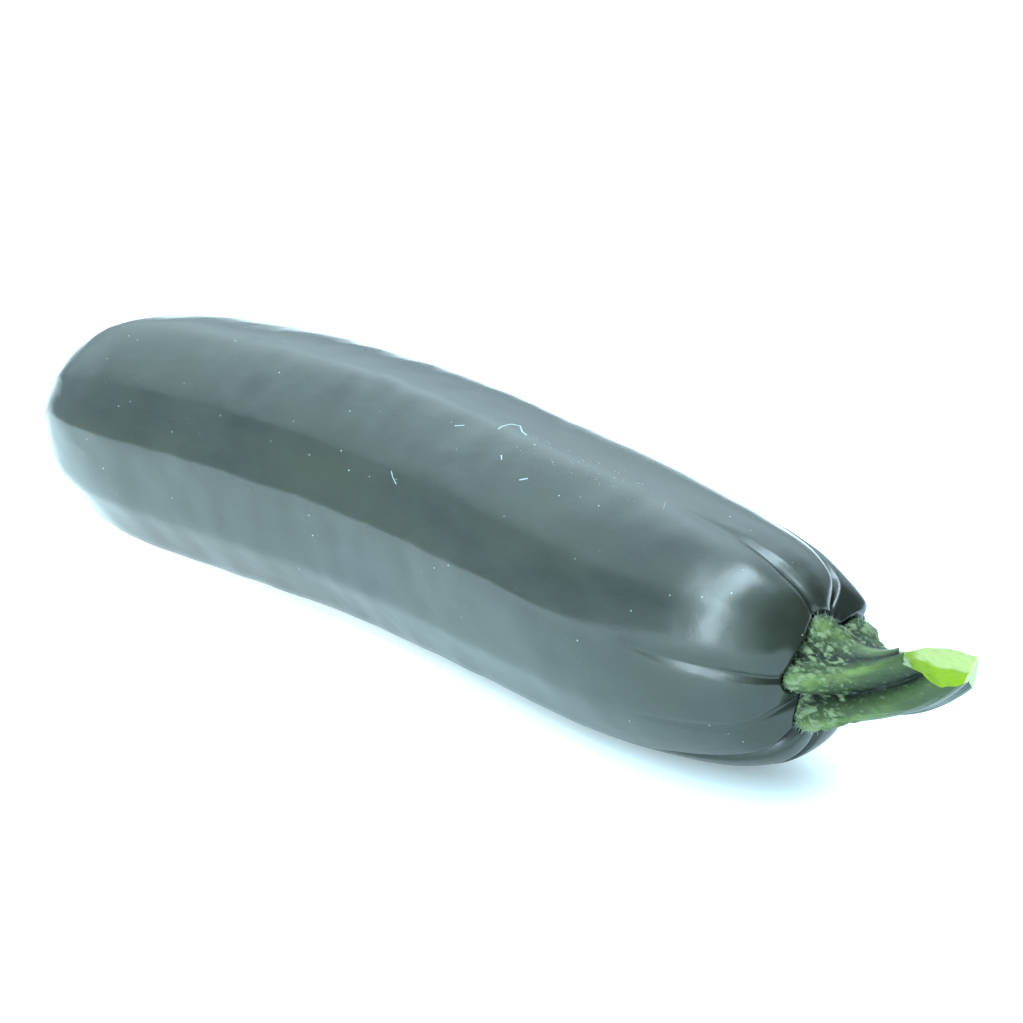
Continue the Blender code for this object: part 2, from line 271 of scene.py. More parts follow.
def skin_ring(q):
    """The points of the fruit's skin at q along the outline, one for each spoke."""
    x, radius = outline(q)
    along, away = outline_normal(q)
    ribs = smoothstep(*BLOSSOM_RIB_FADE, radius) * (1 - smoothstep(RIB_FADE_START, RIB_FADE_END, x))
    grooves = smoothstep(GROOVE_START, GROOVE_FULL, x)
    lobes = smoothstep(LOBE_START, LOBE_FULL, x)
    leaning = rib_angles(x, radius)
    middle = core(min(max(x, 0.0), FRUIT_LENGTH))
    rim = SEAT_RADIUS + SEAT_SLOPE
    if q > 2:
        seated = smoothstep(rim, SEAT_RADIUS, radius)
        seat_x = FRUIT_LENGTH - SEAT_INSET
        widened = smoothstep(0, SEAT_RADIUS, radius) * smoothstep(SEAT_REACH, rim, radius)
        x -= ROLL_DEPTH * smoothstep(ROLL_START, ROLL_END, radius)
    else:
        seated = smoothstep(SCAR_RADIUS + SCAR_SLOPE, SCAR_RADIUS, radius)
        seat_x = SCAR_INSET - STYLE_HEIGHT * smoothstep(STYLE_RADIUS, 0, radius)
        widened = 0.0
    points = []
    for angle in spoke_angles(leaning):
        turn = math.radians(angle)
        across, up = math.cos(turn), math.sin(turn)
        wander = RIB_WANDER * ribs * noise.noise(Vector((x / RIB_WANDER_LENGTH, across, up)))
        lift = ribs * rib_height(angle + wander, leaning)
        if lobes > 0:
            lift += lobes * lobe_height(angle, leaning)
        if grooves > 0:
            lift -= grooves * groove_depth(angle, radius, leaning)
        lift += unevenness(x, radius * across, radius * up)
        widening = 0.0
        if widened > 0:
            widening = widened * (stalk_radius(angle, 0) - SEAT_RADIUS)
        x_out = (x + lift * along) * (1 - seated) + seat_x * seated
        out = radius + lift * away * (1 - seated) + widening
        points.append(Vector((x_out, middle.y + out * across, middle.z + out * up)))
    return points


def spoke_angles(angles):
    """The angle of each spoke, which are closer together beside the ribs at these angles."""
    spokes = []
    for face, low in enumerate(angles):
        span = (angles[(face + 1) % len(angles)] - low) % 360
        for step in range(SPOKES_PER_FACE):
            share = step / SPOKES_PER_FACE
            eased = share - SPOKE_CROWDING * math.sin(2 * math.pi * share) / (2 * math.pi)
            spokes.append(low + span * eased)
    return spokes


def sleeve(spokes, rings, *values):
    """A grid to wrap round the fruit or the stalk: its mesh, and each vertex with its ring, counted
    from the -X end, and its spoke. Each vertex can hold the named values."""
    mesh = bmesh.new()
    for name in values:
        mesh.verts.layers.float.new(name)
    bmesh.ops.create_grid(mesh, x_segments=rings, y_segments=spokes, size=1)
    places = []
    for vertex in mesh.verts:
        ring = round((vertex.co.x + 1) / 2 * rings)
        spoke = round((vertex.co.y + 1) / 2 * spokes) % spokes
        places.append((vertex, ring, spoke))
    return mesh, places


def ring_stations():
    """Where the fruit's rings lie along its outline, closer together towards both poles."""
    blossom = [(step / BLOSSOM_RINGS) ** POLE_CROWDING for step in range(BLOSSOM_RINGS)]
    body = [1 + step / BODY_RINGS for step in range(BODY_RINGS)]
    shoulder = [3 - (1 - step / SHOULDER_RINGS) ** POLE_CROWDING for step in range(SHOULDER_RINGS + 1)]
    return blossom + body + shoulder


# Stalk form, which the fruit's seat follows too: five ridges that flare into feet
STALK_RIDGE_RADIUS = 0.0058
# For each main rib: how far its foot reaches out, and the radius of the furrow after it
STALK_FEET = ((0.0060, 0.0049), (0.0046, 0.0056), (0.0040, 0.0036), (0.0036, 0.0046),
              (0.0040, 0.0046))
STALK_FOOT_HEIGHT = 0.0072
STALK_FOOT_FULLNESS = 1.8
# For each main rib: how much the furrow after it fills out at the root
STALK_ROOT_SPREAD = (0.0022, 0.0034, 0.0016, 0.0016, 0.0016)
STALK_RIDGE_BREADTH = 0.75
# For each main rib: how many degrees its ridge drifts round the stalk on the way out
STALK_DRIFT = (0, -4, -42, -24, 0)
STALK_DRIFT_START = 0.001
STALK_DRIFT_END = 0.019


def stalk_ridges(distance):
    """Where the stalk's ridges lie round it, at a distance from its root."""
    drift = smoothstep(STALK_DRIFT_START, STALK_DRIFT_END, distance)
    return [angle + drift * most for angle, most in zip(MAIN_ANGLES, STALK_DRIFT)]


def ridge_share(angle, distance):
    """1 on the crest of a stalk ridge, 0 in the furrows between them."""
    share = between(stalk_ridges(distance), angle)[1]
    return (0.5 + 0.5 * math.cos(2 * math.pi * share)) ** STALK_RIDGE_BREADTH


def stalk_radius(angle, distance):
    """The stalk's radius before it twists, at a distance from its root."""
    lobe, share = between(stalk_ridges(distance), angle)
    reach, furrow = STALK_FEET[lobe]
    if share > 0.5:
        reach = STALK_FEET[(lobe + 1) % len(STALK_FEET)][0]
    flare = math.exp(-(distance / STALK_FOOT_HEIGHT) ** STALK_FOOT_FULLNESS)
    valley = furrow + STALK_ROOT_SPREAD[lobe] * flare
    crest = STALK_RIDGE_RADIUS + reach * flare
    return valley + (crest - valley) * ridge_share(angle, distance)


SHARP_EDGE = math.radians(60)


def make_object(mesh, name, finishes):
    """Turns a bmesh into a smooth-shaded object with these materials."""
    bmesh.ops.recalc_face_normals(mesh, faces=mesh.faces)
    data = bpy.data.meshes.new(name)
    mesh.to_mesh(data)
    mesh.free()
    for finish in finishes:
        data.materials.append(finish)
    data.shade_smooth()
    data.set_sharp_from_angle(angle=SHARP_EDGE)
    obj = bpy.data.objects.new(name, data)
    bpy.context.scene.collection.objects.link(obj)
    return obj


def feed(tree, socket, value):
    """Gives a socket a value, or links another node's output to it."""
    if isinstance(value, bpy.types.NodeSocket):
        tree.links.new(value, socket)
    else:
        socket.default_value = value


def add_node(tree, kind, **inputs):
    """Adds a shader node. Each named input takes a value, or another node's output to link."""
    made = tree.nodes.new("ShaderNode" + kind)
    for key, value in inputs.items():
        feed(tree, made.inputs[key.replace("_", " ")], value)
    return made


def new_surface(name):
    """A new material: its node tree, its Principled shader and its Object coordinates."""
    made = bpy.data.materials.new(name)
    made.use_nodes = True
    tree = made.node_tree
    place = add_node(tree, "TexCoord").outputs["Object"]
    return made, tree, tree.nodes["Principled BSDF"], place


def stretched(tree, place, scale):
    """Object coordinates scaled by a different amount along each axis."""
    return add_node(tree, "Mapping", Vector=place, Scale=scale).outputs["Vector"]


def grey(level):
    """A colour with this level in each channel."""
    return level, level, level, 1.0


def ramp(tree, value, *stops):
    """A colour for each value, through stops of (position, colour)."""
    made = add_node(tree, "ValToRGB", Fac=value)
    points = made.color_ramp.elements
    while len(points) < len(stops):
        points.new(0.5)
    for point, (position, colour) in zip(points, stops):
        point.position = position
        point.color = colour
    return made.outputs["Color"]


def part_of(tree, value, low, high):
    """0 where value is at low, 1 where it is at high, eased between."""
    made = add_node(tree, "MapRange", Value=value)
    made.interpolation_type = "SMOOTHSTEP"
    made.inputs["From Min"].default_value = low
    made.inputs["From Max"].default_value = high
    return made.outputs["Result"]


def blend_colour(tree, share, first, second):
    """A mix of two colours, by share of the second."""
    made = tree.nodes.new("ShaderNodeMix")
    made.data_type = "RGBA"
    for number, value in ((0, share), (6, first), (7, second)):
        feed(tree, made.inputs[number], value)
    return made.outputs[2]


def maths(tree, operation, first, second=0.0):
    """The result of one sum on two values."""
    made = tree.nodes.new("ShaderNodeMath")
    made.operation = operation
    for socket, value in zip(made.inputs, (first, second)):
        feed(tree, socket, value)
    return made.outputs["Value"]


def centred(tree, value, height):
    """A noise's value, moved to vary round 0, at this height."""
    return maths(tree, "MULTIPLY", maths(tree, "SUBTRACT", value, 0.5), height)


def vector_maths(tree, operation, first, second):
    """One sum on two vectors: the node that works it out."""
    made = tree.nodes.new("ShaderNodeVectorMath")
    made.operation = operation
    for socket, value in zip(made.inputs, (first, second)):
        feed(tree, socket, value)
    return made


def skin_point(x, angle):
    """The place on the skin of the body at x and an angle in degrees."""
    turn = math.radians(angle)
    across, up = math.cos(turn), math.sin(turn)
    radius = through(GIRTH, x)
    radius += rib_height(angle, rib_angles(x, radius)) + unevenness(x, radius * across, radius * up)
    return core(x) + Vector((0, across, up)) * radius + FRUIT_PLACE


# How much flatter a patch of skin is made than it is, so that a line on it stays in its plane
PATCH_FLATTENING = 12.0
# The share of a line's breadth, and of a speck's size, at which it reaches its full strength
LINE_CORE = 0.35
SPECK_CORE = 0.4
SPECK_STRENGTHS = (0.0, 0.9)


def patch_place(tree, place, x, angle):
    """Coordinates from a point on the skin: along the fruit, then round it, and nearly flattened."""
    made = add_node(tree, "Mapping", Vector=place, Location=skin_point(x, angle))
    made.vector_type = "TEXTURE"
    made.inputs["Rotation"].default_value = (math.radians(angle - 90), 0, 0)
    made.inputs["Scale"].default_value = (1, 1, PATCH_FLATTENING)
    return made.outputs["Vector"]


def line_mask(tree, spot, start, end, breadth):
    """1 on a straight line between two points of a patch, 0 beyond its breadth."""
    first, span = Vector((*start, 0)), Vector((*end, 0)) - Vector((*start, 0))
    offset = vector_maths(tree, "SUBTRACT", spot, first).outputs["Vector"]
    share = vector_maths(tree, "DOT_PRODUCT", offset, span / span.length_squared).outputs["Value"]
    nearest = vector_maths(tree, "SCALE", span, (0, 0, 0))
    feed(tree, nearest.inputs["Scale"], maths(tree, "MAXIMUM", maths(tree, "MINIMUM", share, 1.0), 0.0))
    gap = vector_maths(tree, "DISTANCE", offset, nearest.outputs["Vector"]).outputs["Value"]
    return part_of(tree, gap, breadth, breadth * LINE_CORE)


def ball_mask(tree, place, centre, inner, outer):
    """1 within the inner distance of a point, 0 beyond the outer one."""
    gap = vector_maths(tree, "DISTANCE", place, centre).outputs["Value"]
    return part_of(tree, gap, outer, inner)


def speck_mask(tree, place, spacing, size):
    """Small round specks scattered over the skin, with about one to each cube of this spacing."""
    cells = add_node(tree, "TexVoronoi", Vector=place, Scale=1 / spacing)
    draw = add_node(tree, "SeparateColor", Color=cells.outputs["Color"]).outputs["Red"]
    strength = part_of(tree, draw, *SPECK_STRENGTHS)
    reach = size / spacing
    speck = part_of(tree, cells.outputs["Distance"], reach, SPECK_CORE * reach)
    return maths(tree, "MULTIPLY", speck, strength)


SKIN_DEEP = (0.009, 0.0115, 0.0095, 1.0)
SKIN_MID = (0.020, 0.0245, 0.0205, 1.0)
SKIN_OLIVE = (0.018, 0.0225, 0.0145, 1.0)
SKIN_FLECK = (0.26, 0.34, 0.29, 1.0)
SCRATCH_PALE = (0.20, 0.25, 0.235, 1.0)
SCAR_TAN = (0.34, 0.27, 0.13, 1.0)
SKIN_GLOSSY = 0.19
SKIN_DULL = 0.27
SKIN_IOR = 1.45

# Healed scratches: the spot where each starts (x, angle), its breadth, and its corners from there
# (along the fruit, then round it downwards to the far side)
SCRATCHES = (
    (0.1174, 105.7, 0.00020, ((0, 0), (0, 0.0009), (0.0006, 0.0025), (0.0021, 0.0031),
                              (0.0042, 0.0015), (0.0058, 0.0009))),
    (0.1227, 117.0, 0.00016, ((0, 0), (0.0007, -0.0007))),
    (0.1300, 123.7, 0.00018, ((0, 0), (0.0012, 0.0007))),
    (0.1025, 144.0, 0.00012, ((0, 0), (0.0009, -0.0009), (0.0022, -0.0018))),
    (0.1087, 113.3, 0.00012, ((0, 0), (0.0017, 0.0007))),
    (0.1574, 101.6, 0.00012, ((0, 0), (0.0011, -0.0017))),
)
# Two ends of the stretch of rib where fine specks crowd, as (x, angle)
CROWDED_SPECKS = ((0.126, 104.0), (0.152, 101.0))
CROWD_SPOTS = 5
# How far from each spot the crowd is full, and where it ends
CROWD_REACH = (0.0018, 0.0052)
# The spacing and the size of the specks
SPARSE_SPECKS = (0.0031, 0.00017)
FINE_SPECKS = (0.00075, 0.00011)

# Patterns of the skin: features for each metre, drawn out along the fruit by SKIN_STRETCH
SKIN_STRETCH = (0.45, 1, 1)
MOTTLE_SCALE = 170.0
CLOUD_SCALE = 55.0
WRINKLE_SCALE = 420.0
WRINKLE_DEPTH = 0.00010
PORE_SCALE = 1800.0
PORE_DEPTH = 0.00005
CORK_SCALE = 1500.0
SCAR_SOFTNESS = 0.0008
SCAR_DULL = 0.8


def scratches_mask(tree, place):
    """All the healed scratches together."""
    total = 0.0
    for x, angle, breadth, corners in SCRATCHES:
        spot = patch_place(tree, place, x, angle)
        for start, end in zip(corners, corners[1:]):
            total = maths(tree, "MAXIMUM", line_mask(tree, spot, start, end, breadth), total)
    return total


def skin_specks(tree, place):
    """Sparse pale specks everywhere, and a crowd of fine ones along one rib."""
    sparse = speck_mask(tree, place, *SPARSE_SPECKS)
    fine = speck_mask(tree, place, *FINE_SPECKS)
    crowd = 0.0
    (x0, angle0), (x1, angle1) = CROWDED_SPECKS
    for spot in range(CROWD_SPOTS):
        share = spot / (CROWD_SPOTS - 1)
        centre = skin_point(x0 + (x1 - x0) * share, angle0 + (angle1 - angle0) * share)
        crowd = maths(tree, "MAXIMUM", ball_mask(tree, place, centre, *CROWD_REACH), crowd)
    return maths(tree, "MAXIMUM", sparse, maths(tree, "MULTIPLY", fine, crowd))


def skin_surface():
    """Waxy dark green skin with faint mottling, pale specks, healed scratches and a corky scar."""
    made, tree, shader, place = new_surface("courgette_skin")
    along = stretched(tree, place, SKIN_STRETCH)
    mottle = add_node(tree, "TexNoise", Vector=along, Scale=MOTTLE_SCALE, Detail=5.0).outputs["Fac"]
    clouds = add_node(tree, "TexNoise", Vector=along, Scale=CLOUD_SCALE, Detail=3.0).outputs["Fac"]
    colour = ramp(tree, mottle, (0.30, SKIN_DEEP), (0.70, SKIN_MID))
    colour = blend_colour(tree, part_of(tree, clouds, 0.30, 0.80), colour, SKIN_OLIVE)
    colour = blend_colour(tree, skin_specks(tree, place), colour, SKIN_FLECK)
    colour = blend_colour(tree, scratches_mask(tree, place), colour, SCRATCH_PALE)
    scar_centre = core(0) + Vector((SCAR_INSET, 0, 0)) + FRUIT_PLACE
    scar = ball_mask(tree, place, scar_centre, SCAR_RADIUS, SCAR_RADIUS + SCAR_SOFTNESS)
    cork = add_node(tree, "TexNoise", Vector=place, Scale=CORK_SCALE, Detail=4.0).outputs["Fac"]
    corky = ramp(tree, cork, (0.35, SKIN_OLIVE), (0.62, SCAR_TAN))
    tree.links.new(blend_colour(tree, scar, colour, corky), shader.inputs["Base Color"])
    sheen = ramp(tree, clouds, (0.35, grey(SKIN_GLOSSY)), (0.65, grey(SKIN_DULL)))
    sheen = maths(tree, "MAXIMUM", sheen, maths(tree, "MULTIPLY", scar, SCAR_DULL))
    tree.links.new(sheen, shader.inputs["Roughness"])
    shader.inputs["IOR"].default_value = SKIN_IOR
    wrinkles = add_node(tree, "TexNoise", Vector=along, Scale=WRINKLE_SCALE, Detail=4.0).outputs["Fac"]
    folds = add_node(tree, "Bump", Height=wrinkles, Strength=0.35, Distance=WRINKLE_DEPTH)
    pores = add_node(tree, "TexNoise", Vector=place, Scale=PORE_SCALE, Detail=3.0).outputs["Fac"]
    bump = add_node(tree, "Bump", Height=pores, Strength=0.25, Distance=PORE_DEPTH)
    tree.links.new(folds.outputs["Normal"], bump.inputs["Normal"])
    tree.links.new(bump.outputs["Normal"], shader.inputs["Normal"])
    return made


def make_fruit():
    """The fruit's skin, with its underside flattened where it rests."""
    stations = ring_stations()
    mesh, places = sleeve(SPOKES_PER_FACE * len(RIBS), len(stations) - 1)
    rings = [skin_ring(q) for q in stations]
    for vertex, ring, spoke in places:
        vertex.co = rings[ring][spoke] + FRUIT_PLACE
        for axis in range(3):
            vertex.co[axis] = min(max(vertex.co[axis], cad_low[axis]), cad_high[axis])
    bmesh.ops.remove_doubles(mesh, verts=mesh.verts, dist=SEAM_WELD)
    return make_object(mesh, "courgette_fruit", [skin_surface()])


fruit = make_fruit()
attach(fruit, "root")
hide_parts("fruit")


# Stalk
# The woody stalk that the fruit hung from: green, five-ridged and a little hairy, bent upwards and
# cut slantwise, so that its pale wet flesh shows between torn edges of rind.

STALK_LENGTH = 0.0400
STALK_BEND = math.radians(40)
STALK_BEND_AT = 0.0230
STALK_BEND_GROWTH = 1.3
STALK_TWIST = math.radians(7)
STALK_GAP = 0.0003
STALK_ROOT = core(FRUIT_LENGTH) + Vector((-SEAT_INSET + STALK_GAP, 0, 0)) + FRUIT_PLACE

# Slanting cut that bares the flesh: where it starts and the size of the block it takes away, how
# it climbs on the far side, and how it dips, then rises on the camera's side
CUT_START = 0.0148
CUT_HEIGHT = 0.0072
CUT_SPAN = (0.024, 0.028, 0.016)
CUT_RISE_FAR = math.radians(8)
# Where along Y the far side of the cut gives way to the camera's
CUT_NEAR_FROM = 0.0030
CUT_NEAR_FULL = -0.0040
CUT_NEAR_LIFT = 0.0014
CUT_NEAR_FALL = math.radians(10.5)
CUT_NEAR_LOWEST = 0.0070
CUT_NEAR_RISE = math.radians(12)
CUT_SKEW = math.radians(43)
# The cut across the tip
CUT_TIP = 0.0283
TIP_LOW = -0.010
TIP_SPAN = (0.012, 0.028, 0.030)
TIP_SKEW = math.radians(22)
# How finely a cut is meshed, and how close together its corners are welded
CUT_CELLS = 130
CUT_WELD = 0.000004
# How rough the slanting cut is: broad and fine tears, drawn out along the stalk, and a ragged edge
CUT_ROUGHNESS = 0.00045
TEAR_LENGTH = 0.0034
FINE_TEAR_LENGTH = 0.0010
FINE_TEAR_SHARE = 0.45
FIBRE_STRETCH = 0.6
RAGGED_DEPTH = 0.0009
RAGGED_LENGTH = 0.0016
# Fixes the tears and the wobble of the warts, which would otherwise differ from run to run
TEAR_SEED = 6

# Bumps and fibres of the rind: soft bumps and warts near the root, fibres and furrows all along
RIND_RADIUS = 0.007
SOFT_BUMP = 0.00045
SOFT_BUMP_LENGTH = 0.0036
BUMP_FULL = 0.0035
BUMP_REACH = 0.014
BUMP_STRETCH = 0.5
WART_HEIGHT = 0.00050
WART_LENGTH = 0.0010
WART_WOBBLE = 0.0006
WART_WOBBLE_LENGTH = 0.0011
# Distance from a wart's middle, as a share of its cell, where it ends and where it is full
WART_EDGE = (0.72, 0.15)
WART_CROWD_LENGTH = 0.0042
WART_CROWDS = (-0.55, 0.05)
FIBRE_HEIGHT = 0.00012
FIBRE_BREADTH = 0.0009
FIBRE_LENGTH = 0.007
FURROW_HEIGHT = 0.00020
FURROW_BREADTH = 0.0022
FURROW_LENGTH = 0.011
RELIEF_START = 0.0004

STALK_SPOKES_PER_FACE = 66
STALK_CAP_RINGS = 6
STALK_SIDE_RINGS = 270
ROOT_CROWDING = 1.2
HEADING_STEPS = 400
STALK_SHARP_EDGE = math.radians(50)


def stalk_frames(distances):
    """The stalk's middle and the direction above it at each distance, which only grows."""
    frames = []
    middle, done, step = STALK_ROOT.copy(), 0.0, STALK_LENGTH / HEADING_STEPS
    for distance in distances:
        while done < distance:
            part = min(step, distance - done)
            heading = STALK_BEND * ((done + part / 2) / STALK_BEND_AT) ** STALK_BEND_GROWTH
            middle = middle + Vector((math.cos(heading), 0, math.sin(heading))) * part
            done += part
        heading = STALK_BEND * (distance / STALK_BEND_AT) ** STALK_BEND_GROWTH
        frames.append((middle, Vector((-math.sin(heading), 0, math.cos(heading)))))
    return frames


def drawn_out_noise(around, distance, breadth, length):
    """Noise on the stalk's side with features of this breadth round it and this length along it."""
    return noise.noise(Vector((around.x / breadth, around.y / breadth, distance / length)))


def rind_relief(degrees, distance):
    """Height of the rind's bumps and fibres, and how much of a pale wart is there."""
    turn = math.radians(degrees)
    around = Vector((math.cos(turn), math.sin(turn), 0)) * RIND_RADIUS
    near_root = 1 - smoothstep(BUMP_FULL, BUMP_REACH, distance)
    lengthwise = Vector((around.x, around.y, distance * BUMP_STRETCH))
    wobble = noise.noise_vector(lengthwise / WART_WOBBLE_LENGTH) * WART_WOBBLE
    cell = noise.voronoi((lengthwise + wobble) / WART_LENGTH)[0][0]
    crowding = smoothstep(*WART_CROWDS, noise.noise(lengthwise / WART_CROWD_LENGTH))
    wart = smoothstep(*WART_EDGE, cell) * near_root * crowding
    soft = near_root * noise.noise(lengthwise / SOFT_BUMP_LENGTH)
    fibre = drawn_out_noise(around, distance, FIBRE_BREADTH, FIBRE_LENGTH)
    furrow = drawn_out_noise(around, distance, FURROW_BREADTH, FURROW_LENGTH)
    height = SOFT_BUMP * soft + WART_HEIGHT * wart + FIBRE_HEIGHT * fibre + FURROW_HEIGHT * furrow
    return height, wart


def stalk_point(degrees, distance, frame, lift):
    """A place on the stalk's side, lifted off its even form, and the direction outwards there."""
    middle, up = frame
    turned = math.radians(degrees) + STALK_TWIST * distance / STALK_LENGTH
    outward = Vector((0, math.cos(turned), 0)) + up * math.sin(turned)
    return middle, outward, stalk_radius(degrees, distance) + lift


def cut_near_side(x):
    """Height of the cut on the camera's side of the stalk: it dips, then rises to the tip."""
    fall = CUT_NEAR_LIFT - min(x, CUT_NEAR_LOWEST) * math.tan(CUT_NEAR_FALL)
    return fall + max(x - CUT_NEAR_LOWEST, 0) * math.tan(CUT_NEAR_RISE)


def cut_block(name, start, span, skew, roughness, finish):
    """A block that takes away what is past a plane skewed across the stalk, starting from a place
    measured from the stalk's root. If it is rough, its underside is torn and follows the slant of
    the cut; if not, it is plain."""
    mesh = bmesh.new()
    bmesh.ops.create_grid(mesh, x_segments=CUT_CELLS, y_segments=CUT_CELLS, size=0.5)
    raised = bmesh.ops.extrude_face_region(mesh, geom=mesh.faces[:])["geom"]
    top = {item for item in raised if isinstance(item, bmesh.types.BMVert)}
    for vertex in mesh.verts:
        x, y = (vertex.co.x + 0.5) * span[0], vertex.co.y * span[1]
        z = span[2] if vertex in top else 0.0
        drawn_out = Vector((x * FIBRE_STRETCH, y, z))
        torn = noise.noise_vector(drawn_out / TEAR_LENGTH)
        fine = noise.noise_vector(drawn_out / FINE_TEAR_LENGTH)
        offset = (torn + FINE_TEAR_SHARE * fine) * roughness
        ragged = RAGGED_DEPTH * noise.noise(Vector((y / RAGGED_LENGTH, 7.0, 0))) if roughness else 0.0
        if vertex not in top and roughness:
            near = smoothstep(CUT_NEAR_FROM, CUT_NEAR_FULL, y)
            z += (1 - near) * x * math.tan(CUT_RISE_FAR) + near * cut_near_side(x)
        x += ragged - y * math.tan(skew)
        vertex.co = Vector((x, y, z)) + offset + STALK_ROOT + Vector(start)
    return make_object(mesh, name, [finish])


def cut_away(obj, block):
    """Takes the block away from the object, and the block from the scene."""
    cut = obj.modifiers.new(block.name, "BOOLEAN")
    cut.operation = "DIFFERENCE"
    cut.solver = "MANIFOLD"
    cut.material_mode = "TRANSFER"
    cut.object = block
    bpy.context.view_layer.update()
    graph = bpy.context.evaluated_depsgraph_get()
    evaluated = obj.evaluated_get(graph)
    made = bpy.data.meshes.new_from_object(evaluated, preserve_all_data_layers=True, depsgraph=graph)
    obj.modifiers.clear()
    obj.data = made
    bpy.data.objects.remove(block)


def mend(obj):
    """Welds the slivers that a cut leaves, and takes out faces that lie back to back there."""
    mesh = bmesh.new()
    mesh.from_mesh(obj.data)
    bmesh.ops.remove_doubles(mesh, verts=mesh.verts, dist=CUT_WELD)
    bmesh.ops.dissolve_degenerate(mesh, edges=mesh.edges, dist=CUT_WELD)
    bmesh.ops.triangulate(mesh, faces=mesh.faces)
    alike = {}
    for face in mesh.faces:
        alike.setdefault(frozenset(face.verts), []).append(face)
    doubled = [face for faces in alike.values() if len(faces) > 1 for face in faces]
    bmesh.ops.delete(mesh, geom=doubled, context="FACES")
    bmesh.ops.holes_fill(mesh, edges=mesh.edges, sides=6)
    mesh.to_mesh(obj.data)
    mesh.free()


def make_stalk():
    """The stalk at its full length, then cut."""
    noise.seed_set(TEAR_SEED)
    rings = STALK_CAP_RINGS * 2 + STALK_SIDE_RINGS
    side_rings = [min(max(ring - STALK_CAP_RINGS, 0), STALK_SIDE_RINGS) for ring in range(rings + 1)]
    distances = [STALK_LENGTH * (ring / STALK_SIDE_RINGS) ** ROOT_CROWDING for ring in side_rings]
    frames = stalk_frames(distances)
    mesh, places = sleeve(STALK_SPOKES_PER_FACE * len(MAIN_ANGLES), rings, "crest", "wart", "along")
    crest, wart, along = mesh.verts.layers.float.values()
    for vertex, ring, spoke in places:
        face, step = divmod(spoke, STALK_SPOKES_PER_FACE)
        turn = (MAIN_ANGLES[(face + 1) % len(MAIN_ANGLES)] - MAIN_ANGLES[face]) % 360
        degrees = MAIN_ANGLES[face] + turn * step / STALK_SPOKES_PER_FACE
        distance = distances[ring]
        relief, vertex[wart] = rind_relief(degrees, distance)
        lift = relief * smoothstep(0, RELIEF_START, distance)
        middle, outward, radius = stalk_point(degrees, distance, frames[ring], lift)
        inward = min(ring, rings - ring, STALK_CAP_RINGS) / STALK_CAP_RINGS
        vertex.co = middle + outward * radius * inward
        vertex[crest] = ridge_share(degrees, distance)
        vertex[along] = distance
    bmesh.ops.remove_doubles(mesh, verts=mesh.verts, dist=SEAM_WELD)
    made = make_object(mesh, "courgette_stalk", [rind_surface()])
    flesh = flesh_surface()
    slant_start, tip_start = (CUT_START, 0, CUT_HEIGHT), (CUT_TIP, 0, TIP_LOW)
    cut_away(made, cut_block("slanting_cut", slant_start, CUT_SPAN, CUT_SKEW, CUT_ROUGHNESS, flesh))
    cut_away(made, cut_block("blunted_tip", tip_start, TIP_SPAN, TIP_SKEW, 0.0, flesh))
    mend(made)
    made.data.shade_smooth()
    made.data.set_sharp_from_angle(angle=STALK_SHARP_EDGE)
    return made


# Painted shade: the near-black green that fills the furrows between the crests
RIND_FURROW_SHADE = (0.002, 0.005, 0.003, 1.0)
RIND_GREEN = (0.026, 0.044, 0.014, 1.0)
RIND_STRIPE = (0.078, 0.122, 0.032, 1.0)
WART_PALE = (0.110, 0.148, 0.072, 1.0)
FLESH_PALE = (0.20, 0.25, 0.085, 1.0)
FLESH_LIME = (0.105, 0.175, 0.001, 1.0)
FLESH_WHITISH = (0.16, 0.22, 0.11, 1.0)
# Painted light: a brighter flesh colour on the tip's end facet, which the room lights dimly
FLESH_END_PAINTED_LIGHT = (0.33, 0.38, 0.14, 1.0)
FLESH_GLEAM = 0.05
FLESH_WET = 0.35
RIND_WAXY = 0.38
RIND_ROUGH = 0.65
RIND_GLEAM = 0.18

# Patterns of the rind: features for each metre, and how much each adds to its colours. Pairs are
# where a thing starts to show and where it is full, in metres where they are about distance.
STREAK_STRETCH = (0.22, 1, 1)
STREAK_SCALE = 1100.0
PATCH_SCALE = 330.0
STREAK_DEPTH = 0.00018
GREEN_STREAKS = 0.5
GREEN_SPREAD = 0.65
STRIPE_PATCHES = 0.5
STRIPE_STREAKS = 0.4
STRIPE_SHOWS = (0.80, 1.08)
STRIPE_REACH = (0.021, 0.010)
ROOT_REACH = (0.014, 0.004)
ROOT_PALENESS = 0.18
FUZZ_STRETCH = (0.5, 1, 1)
FUZZ_SCALE = 1900.0
FUZZ_CONTRAST = 2.4
PALE_SHOWS = (0.15, 1.15)
RIND_GRAIN_SCALE = 3000.0
RIND_GRAIN_DEPTH = 0.00010

# Patterns of the flesh, in the same way; the steps are measured from the start of the cut
TEAR_STRETCH = (0.5, 1, 1)
TEAR_SCALE = 420.0
TEAR_SHIFT = 0.0050
LIME_SIDE = (-0.0006, 0.0012)
LIME_STEP = (0.0042, 0.0024)
WHITISH_STEP = (0.0020, 0.0008)
PAINTED_END_LIGHT_STEP = (-0.0004, -0.0001)
FLESH_FIBRE_STRETCH = (0.3, 1, 1)
FLESH_FIBRE_SCALE = 1700.0
FLESH_FIBRE_DEPTH = 0.00015


def stored(tree, name):
    """A value that the mesh stores at each vertex."""
    made = add_node(tree, "Attribute")
    made.attribute_name = name
    return made.outputs["Fac"]


